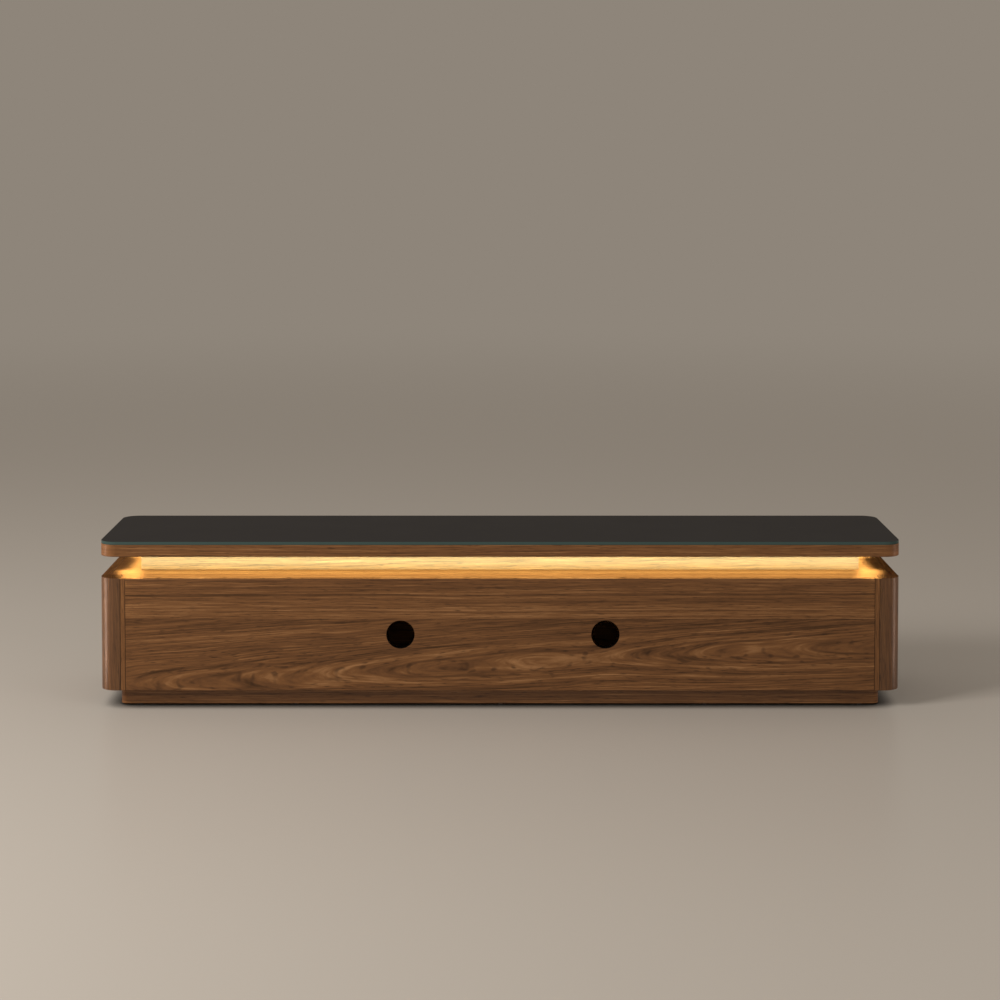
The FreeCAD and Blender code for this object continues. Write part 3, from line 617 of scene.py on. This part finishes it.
for shape, finish in ((head, "Head Finish"), (raised, "Recess Finish")):
    placed = add(fixing_tree, "GeometryNodeInstanceOnPoints", {"Points": given["Points"], "Instance": shape,
                                                               "Rotation": given["Facing"]}).outputs[0]
    real = add(fixing_tree, "GeometryNodeRealizeInstances", {0: placed}).outputs[0]
    coated = add(fixing_tree, "GeometryNodeSetMaterial", {"Geometry": real,
                                                          "Material": given[finish]}).outputs[0]
    fixing_tree.links.new(coated, whole.inputs[0])
add(fixing_tree, "NodeGroupOutput", {0: whole.outputs[0]})
print("fixing tree nodes", len(fixing_tree.nodes))

# %% [markdown]
# A small function runs the tree. It makes a mesh of bare points, lets the tree set a fixing on each, and
# keeps the result as a plain mesh, which then rides the body that the fixings are screwed to.

# %% Fixings as plain meshes
items = fixing_tree.interface.items_tree
FIXING_INPUTS = {item.name: item.identifier for item in items if item.in_out == "INPUT"}


def fixings(name, body, slot, points, **inputs):
    """One piece with a fixing on each point, riding a body."""
    mesh = bpy.data.meshes.new(name)
    mesh.from_pydata(points, [], [])
    piece = bpy.data.objects.new(name, mesh)
    scene.collection.objects.link(piece)
    modifier = piece.modifiers.new("fixings", "NODES")
    modifier.node_group = fixing_tree
    for label, value in inputs.items():
        modifier[FIXING_INPUTS[label.replace("_", " ")]] = value
    seen_by = bpy.context.evaluated_depsgraph_get()
    made = bpy.data.meshes.new_from_object(piece.evaluated_get(seen_by), depsgraph=seen_by)
    piece.modifiers.remove(modifier)
    piece.data = made
    bpy.data.meshes.remove(mesh)
    made.name = name
    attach(piece, body)
    print(name, len(points), "fixings", len(made.polygons), "faces")


print("fixing inputs", list(FIXING_INPUTS))

# %% [markdown]
# Each hinge leaf holds three countersunk screws, and each strike plate two. Their heads stand a tenth of
# a millimetre proud, because the leaves close to half a millimetre. The drawers carry the inner slide
# member with four pan head screws, which show in the open channel once a drawer is out. The cross in a
# head lies in its own shade, so it gets a dark steel, and the eye reads it as a recess.

# %% Screws on hinges, strikes and slides
screw_recess = moulded("steel_recess_shaded", "#2B2B2C", 0.6, 0.6)
COUNTERSUNK = {"Top_Radius": 2.7 * MM, "Bottom_Radius": 3.0 * MM, "Height": 0.1 * MM,
               "Recess": (3.0 * MM, 0.7 * MM, 0.04 * MM), "Head_Finish": zinc_steel,
               "Recess_Finish": screw_recess}
PAN_HEAD = {"Top_Radius": 2.2 * MM, "Bottom_Radius": 3.6 * MM, "Height": 1.6 * MM,
            "Recess": (3.0 * MM, 0.8 * MM, 0.04 * MM), "Head_Finish": zinc_steel,
            "Recess_Finish": screw_recess}
TO_FRONT, TO_REAR = (-QUARTER, 0.0, 0.0), (QUARTER, 0.0, 0.0)
TO_RIGHT, TO_LEFT = (0.0, QUARTER, 0.0), (0.0, -QUARTER, 0.0)
HINGE_MIDDLES = (91.5 * MM, 422.5 * MM)       # from the middle of the stand
LEAF_STEPS = (-20 * MM, 0.0, 20 * MM)         # screws along a hinge leaf, from its middle
LEAF_SCREW_HEIGHT = 54.5 * MM
FIXED_LEAF_FACE = 180.5 * MM
STRIKE_STEPS = (-13 * MM, 13 * MM)            # screws along a strike plate, from its middle
SLIDE_STEPS = (18 * MM, 106 * MM, 194 * MM, 282 * MM)     # screws along a slide, from its rear end
SLIDE_WEB = 1.5 * MM
for name, side in (("left", -1.0), ("right", 1.0)):
    plate_low, plate_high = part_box(name + "_flap_strike")
    plate = (plate_low + plate_high) / 2
    across = [side * middle + step for middle in HINGE_MIDDLES for step in LEAF_STEPS]
    fixed = [(x, FIXED_LEAF_FACE, LEAF_SCREW_HEIGHT) for x in across]
    fixings(name + "_hinge_fixed_screws", "carcass", "zinc_steel", fixed, Facing=TO_FRONT, **COUNTERSUNK)
    swung = [(x, plate_low.y, LEAF_SCREW_HEIGHT) for x in across]
    swung += [(plate.x + step, plate_low.y, plate.z) for step in STRIKE_STEPS]
    fixings(name + "_flap_screws", name + "_flap", "zinc_steel", swung, Facing=TO_REAR, **COUNTERSUNK)
    box_low, box_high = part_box(name + "_drawer_back")
    slide_low, slide_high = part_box(name + "_drawer_slide_members")
    slide_height = (slide_low.z + slide_high.z) / 2
    for way, x, facing in (("right", box_high.x + SLIDE_WEB, TO_RIGHT),
                           ("left", box_low.x - SLIDE_WEB, TO_LEFT)):
        points = [(x, slide_low.y + step, slide_height) for step in SLIDE_STEPS]
        fixings(name + "_drawer_" + way + "_slide_screws", name + "_drawer", "zinc_steel", points,
                Facing=facing, **PAN_HEAD)

# %% [markdown]
# Soft clear bumpers on the front edges of the dividers keep the drawers and flaps from clapping shut.
# They are two millimetres high, in a gap of two and a half. A bumper has no recess, so its cross is only
# a speck on the top, in the same finish.

# %% Bumpers on the dividers
bumper_clear = moulded("polyurethane_clear_bumper", "#CFCFC8", 0.3, 2.0)
BUMPER = {"Top_Radius": 1.9 * MM, "Bottom_Radius": 3.0 * MM, "Height": 2.0 * MM,
          "Recess": (0.4 * MM, 0.1 * MM, 0.02 * MM), "Head_Finish": bumper_clear,
          "Recess_Finish": bumper_clear}
BUMPER_COLUMNS = (5.2 * MM, 508.8 * MM, 519.2 * MM)       # from the middle of the stand
BUMPER_HEIGHTS = (100 * MM, 285 * MM)
divider_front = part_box("divider_centre")[1].y
bumper_points = [(side * x, divider_front, z) for side in (-1.0, 1.0) for x in BUMPER_COLUMNS
                 for z in BUMPER_HEIGHTS]
fixings("divider_bumpers", "carcass", "white_plastic", bumper_points, Facing=TO_FRONT, **BUMPER)

# %% [markdown]
# The stage is one wide pale floor that fades into a plain backdrop. A floor without a wall looks the same
# from every side, and the fade hides where it ends. Close to the stand a contact shadow is painted
# into the floor's colour where little sky reaches it, which grounds the plinth.

# %% Floor
FLOOR_REACH = 40.0
FADE_START, FADE_END = 2.5, 12.0              # metres from the stand
BACKDROP = "#8E857A"
CONTACT_REACH = 60 * MM
CONTACT_DARK, CONTACT_CLEAR = 0.28, 0.72      # share of open sky over the darkest and the plain paint
corners = [(-FLOOR_REACH, -FLOOR_REACH, 0.0), (FLOOR_REACH, -FLOOR_REACH, 0.0),
           (FLOOR_REACH, FLOOR_REACH, 0.0), (-FLOOR_REACH, FLOOR_REACH, 0.0)]
floor_mesh = bpy.data.meshes.new("studio_floor")
floor_mesh.from_pydata(corners, [], [(0, 1, 2, 3)])
floor = bpy.data.objects.new("studio_floor", floor_mesh)
scene.collection.objects.link(floor)
floor_paint, tree = new_material("studio_floor_paint")
# Painted contact shadow: where the occlusion finds little open sky, the floor's colour turns near black.
near = add(tree, "ShaderNodeAmbientOcclusion", {"Distance": CONTACT_REACH}, samples=8).outputs["AO"]
contact = add(tree, "ShaderNodeMapRange", {"Value": near, "From Min": CONTACT_DARK,
                                           "From Max": CONTACT_CLEAR}).outputs[0]
colour = add(tree, "ShaderNodeMix", {0: contact, 6: linear("#060504"), 7: linear("#B4ADA5")},
             data_type="RGBA").outputs[2]
paint = add(tree, "ShaderNodeBsdfPrincipled", {"Base Color": colour, "Roughness": 0.3,
                                               "Specular IOR Level": 0.1})
place = add(tree, "ShaderNodeTexCoord").outputs["Object"]
reach = add(tree, "ShaderNodeVectorMath", {0: place}, operation="LENGTH").outputs["Value"]
far = add(tree, "ShaderNodeMapRange", {"Value": reach, "From Min": FADE_START, "From Max": FADE_END},
          interpolation_type="SMOOTHSTEP").outputs[0]
distance = add(tree, "ShaderNodeEmission", {"Color": linear(BACKDROP)})
ground = add(tree, "ShaderNodeMixShader", {0: far, 1: paint.outputs[0], 2: distance.outputs[0]})
add(tree, "ShaderNodeOutputMaterial", {"Surface": ground.outputs[0]})
floor_mesh.materials.append(floor_paint)
print("floor width m", 2 * FLOOR_REACH)

# %% [markdown]
# The sky is a plain soft light. The camera sees the backdrop's colour in its place, and so do mirror
# images and what shows through glass, so that the stand and its reflections stand before the same
# background.

# %% Sky
SKY_LIGHT = "#BCB5AC"
SKY_STRENGTH = 0.85
world = bpy.data.worlds.new("studio_sky")
scene.world = world
world.use_nodes = True
tree = world.node_tree
tree.nodes.clear()
ray = add(tree, "ShaderNodeLightPath").outputs
seen = ray["Is Camera Ray"]
for kind in ("Is Glossy Ray", "Is Transmission Ray"):
    seen = add(tree, "ShaderNodeMath", {0: seen, 1: ray[kind]}, operation="MAXIMUM").outputs[0]
light = add(tree, "ShaderNodeBackground", {"Color": linear(SKY_LIGHT), "Strength": SKY_STRENGTH})
backdrop = add(tree, "ShaderNodeBackground", {"Color": linear(BACKDROP), "Strength": 1.0})
sky = add(tree, "ShaderNodeMixShader", {0: seen, 1: light.outputs[0], 2: backdrop.outputs[0]})
add(tree, "ShaderNodeOutputWorld", {"Surface": sky.outputs[0]})
print("sky nodes", len(tree.nodes))

# %% [markdown]
# Studio light is one large soft lamp high on the left and a weak one on the right. Neither shows in
# reflections, so the floor stays plain from every side. The same function will make the smaller lamps
# that follow.

# %% Studio lamps
DAYLIGHT = "#FFFBF5"
STAND_MIDDLE = (0.0, 0.0, 0.3)


def lamp(name, place, size, watts, colour, aim=None, turn=0.0, spread=180.0, lights=()):
    """Rectangular lamp, aimed at a point, or straight down and turned about the vertical.

    With pieces in lights, it reaches those alone.
    """
    data = bpy.data.lights.new(name, "AREA")
    data.shape = "RECTANGLE"
    data.size, data.size_y = size
    data.energy = watts
    data.color = linear(colour)[:3]
    data.spread = math.radians(spread)
    light = bpy.data.objects.new(name, data)
    light.location = place
    light.rotation_euler = (0.0, 0.0, math.radians(turn))
    if aim:
        light.rotation_euler = (Vector(aim) - Vector(place)).to_track_quat("-Z", "Y").to_euler()
    scene.collection.objects.link(light)
    light.visible_camera = False
    if lights:
        reached = bpy.data.collections.new(name + "_lights")
        for piece in lights:
            reached.objects.link(nodes[piece])
        light.light_linking.receiver_collection = reached
    return light


studio = [lamp("key_lamp", (-4.2, -3.0, 3.0), (2.2, 2.2), 285.0, DAYLIGHT, STAND_MIDDLE),
          lamp("fill_lamp", (3.6, -3.4, 2.2), (2.0, 2.0), 30.0, DAYLIGHT, STAND_MIDDLE)]
for light in studio:
    light.visible_glossy = False
print("studio lamps", [light.name for light in studio])

# %% [markdown]
# A narrow upright strip near each corner draws a soft bright line down the rounded post. Such a strip
# would also lie as a glare on the floor, so light linking lets it reach the rounded pieces of its own
# side alone. The line falls where the surface mirrors the strip to the camera, so the strip's place sets
# the line's place.

# %% Strips for the rounded corners
STRIP_LIGHT = "#FFDBC5"
STRIP_SIZE = (50 * MM, 560 * MM)
STRIP_HEIGHT = 240 * MM
STRIP_X, STRIP_Y = 1285 * MM, 205 * MM
CORNER_X, CORNER_Y = 985 * MM, 191 * MM       # the point on the rounded corner that the strip is aimed at
STRIP_WATTS = {"left": 1.08, "right": 0.45}
ROUNDED = {"rear": ["post_rear_left", "post_rear_right", "plinth_rear_rail", "top_board"],
           "front": ["post_front_left", "post_front_right", "plinth_front_rail"]}
FACES = {"rear": -1.0, "front": 1.0}
ENDS = {"left": -1.0, "right": 1.0}
for face, outward in FACES.items():
    for end, way in ENDS.items():
        lamp(face + "_" + end + "_strip", (way * STRIP_X, outward * STRIP_Y, STRIP_HEIGHT), STRIP_SIZE,
             STRIP_WATTS[end], STRIP_LIGHT, (way * CORNER_X, outward * CORNER_Y, STRIP_HEIGHT),
             lights=ROUNDED[face])
print("corner strips", len(FACES) * len(ENDS), "mm from their corners", round((STRIP_X - CORNER_X) / MM))

# %% [markdown]
# The plinth stands back in the shade of the body. A long low strip before each face lifts it enough to
# show its wood, and reaches the plinth's long rails alone.

# %% Strips for the plinth
PLINTH_STRIP_SIZE = (2.2, 50 * MM)
PLINTH_STRIP_Y, PLINTH_STRIP_HEIGHT = 0.9, 50 * MM
PLINTH_AIM_Y, PLINTH_AIM_HEIGHT = 160 * MM, 25 * MM
PLINTH_WATTS = 1.4
for face, outward in FACES.items():
    lamp(face + "_plinth_strip", (0.0, outward * PLINTH_STRIP_Y, PLINTH_STRIP_HEIGHT), PLINTH_STRIP_SIZE,
         PLINTH_WATTS, DAYLIGHT, (0.0, outward * PLINTH_AIM_Y, PLINTH_AIM_HEIGHT), lights=LONG_PLINTH)
print("plinth strips", len(FACES), "reach", LONG_PLINTH)

# %% [markdown]
# The light in the recess comes from the lenses, helped by hidden lamps along the same lines, which reach
# the pieces around the recess alone. A lens is a thin strip that sends its light everywhere, but real
# diodes are aimed. So one lamp on each side washes the neck, one falls on the deck, a narrow strip lies
# on the deck past each end of the neck, and a soft fan spreads from there into each corner. The wash is a
# little greener than the rest, because in the LED colour the red of so brightly lit walnut runs past its
# limit and leaves the neck orange.

# %% Light in the recess
NECK_LIGHT = "#E2F2BF"
RECESS = POSTS + LONG_NECK + SIDES + LIPPINGS + FRONTS + ["neck_ends", "deck_panel", "rear_panel"]
LAMP_LINE = 140 * MM                          # of the lamps along the neck, from the middle of the stand
WASH_HEIGHT, WASH_AIM, WASH_PAST = 342 * MM, 350 * MM, 80 * MM
WASH_DEPTH, GLOW_DEPTH = 24 * MM, 110 * MM
END_STRIP_PAST, FAN_PAST = 19 * MM, 16 * MM   # past the end of the neck
END_STRIP_SIZE, FAN_SIZE = (36 * MM, 230 * MM), (52 * MM, 123 * MM)
FAN_LINE, FAN_TURN = 147 * MM, 13.0
WATTS = {"wash": 2.4, "glow": 3.2, "strip": 0.35, "fan": 0.19}
SPREAD = {"wash": 110.0, "glow": 110.0, "strip": 60.0, "fan": 45.0}       # degrees
neck_low, neck_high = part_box("neck_rear_board")
neck_length, neck_end = neck_high.x - neck_low.x, neck_high.x
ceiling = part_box("top_board")[0].z
glow_height, end_height = ceiling - 1 * MM, ceiling - 2 * MM
for face, outward in FACES.items():
    y = outward * LAMP_LINE
    lamp(face + "_neck_wash", (0.0, y, WASH_HEIGHT), (neck_length + WASH_PAST, WASH_DEPTH), WATTS["wash"],
         NECK_LIGHT, (0.0, 0.0, WASH_AIM), spread=SPREAD["wash"], lights=RECESS)
    lamp(face + "_deck_glow", (0.0, y, glow_height), (neck_length, GLOW_DEPTH), WATTS["glow"], LED_LIGHT,
         spread=SPREAD["glow"], lights=RECESS)
for end, way in ENDS.items():
    lamp(end + "_end_strip", (way * (neck_end + END_STRIP_PAST), 0.0, end_height), END_STRIP_SIZE,
         WATTS["strip"], LED_LIGHT, spread=SPREAD["strip"], lights=RECESS)
    for face, outward in FACES.items():
        lamp(end + "_" + face + "_fan", (way * (neck_end + FAN_PAST), outward * FAN_LINE, end_height),
             FAN_SIZE, WATTS["fan"], LED_LIGHT, turn=way * outward * FAN_TURN, spread=SPREAD["fan"],
             lights=RECESS)
print("lamps in all", len(bpy.data.lights))
